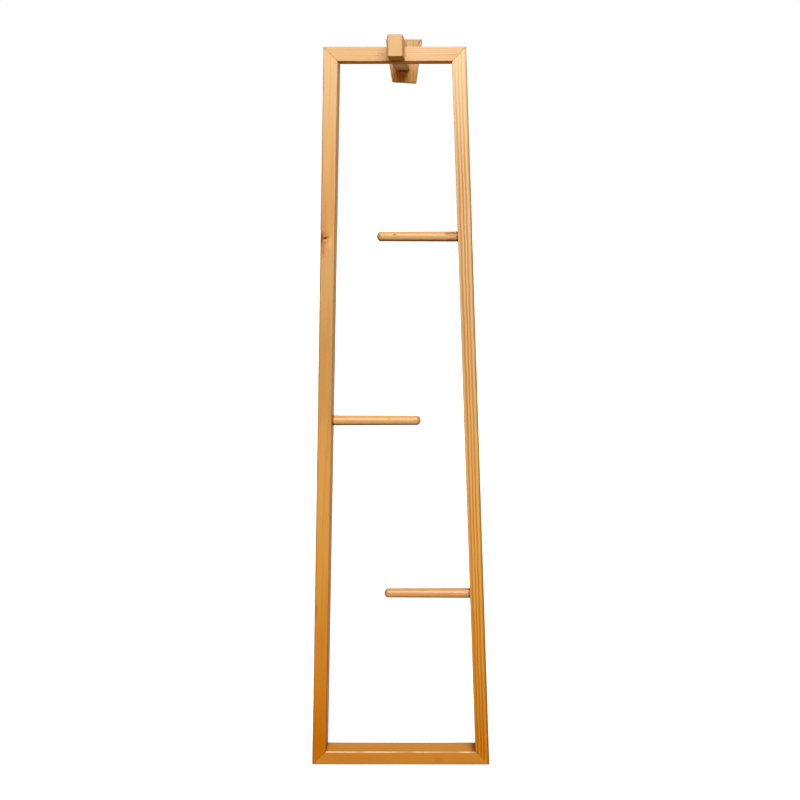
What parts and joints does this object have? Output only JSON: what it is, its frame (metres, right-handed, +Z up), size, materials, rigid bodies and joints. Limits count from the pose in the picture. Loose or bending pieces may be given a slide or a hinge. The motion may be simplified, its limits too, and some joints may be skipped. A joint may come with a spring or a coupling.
{
  "type": "ladder clothes rack",
  "caption": "Tall tapered wooden frame with mitred corners and cantilevered round pegs, held off the wall by a lift-off hook arm on a wall plate.",
  "frame": {"origin": "on the floor, in the middle of the bottom rail's underside", "axes": "+Z up, +Y back to the wall, +X to the right of someone who faces the rack"},
  "size_m": [0.444, 0.355, 1.7953],
  "materials": {
    "stile_pine": "satin clear varnish",
    "striped_stile_pine": "satin clear varnish",
    "rail_pine": "satin clear varnish",
    "peg_pine": "glossy clear varnish",
    "hook_pine": "satin clear varnish",
    "plate_pine": "satin clear varnish",
    "dowel_beech": "bare wood",
    "zinc_steel": "zinc plated"
  },
  "bodies": {
    "rack_frame": {"left_stile": "stile_pine", "right_stile": "striped_stile_pine", "top_rail": "rail_pine", "bottom_rail": "rail_pine", "bottom_left_dowel_front": "dowel_beech", "bottom_left_dowel_back": "dowel_beech", "top_left_dowel_front": "dowel_beech", "top_left_dowel_back": "dowel_beech", "top_right_dowel_front": "dowel_beech", "top_right_dowel_back": "dowel_beech", "bottom_right_dowel_front": "dowel_beech", "bottom_right_dowel_back": "dowel_beech", "upper_peg": "peg_pine", "middle_peg": "peg_pine", "lower_peg": "peg_pine"},
    "wall_bracket": {"hook_arm": "hook_pine", "wall_plate": "plate_pine", "keyhole_hanger": "zinc_steel", "lower_arm_screw": "zinc_steel", "upper_arm_screw": "zinc_steel", "left_hanger_screw": "zinc_steel", "right_hanger_screw": "zinc_steel"}
  },
  "joints": [
    {"name": "bracket_lift", "type": "slide", "parent": "rack_frame", "child": "wall_bracket", "axis": [0, 0, 1], "range_m": [0, 0.045]}
  ]
}
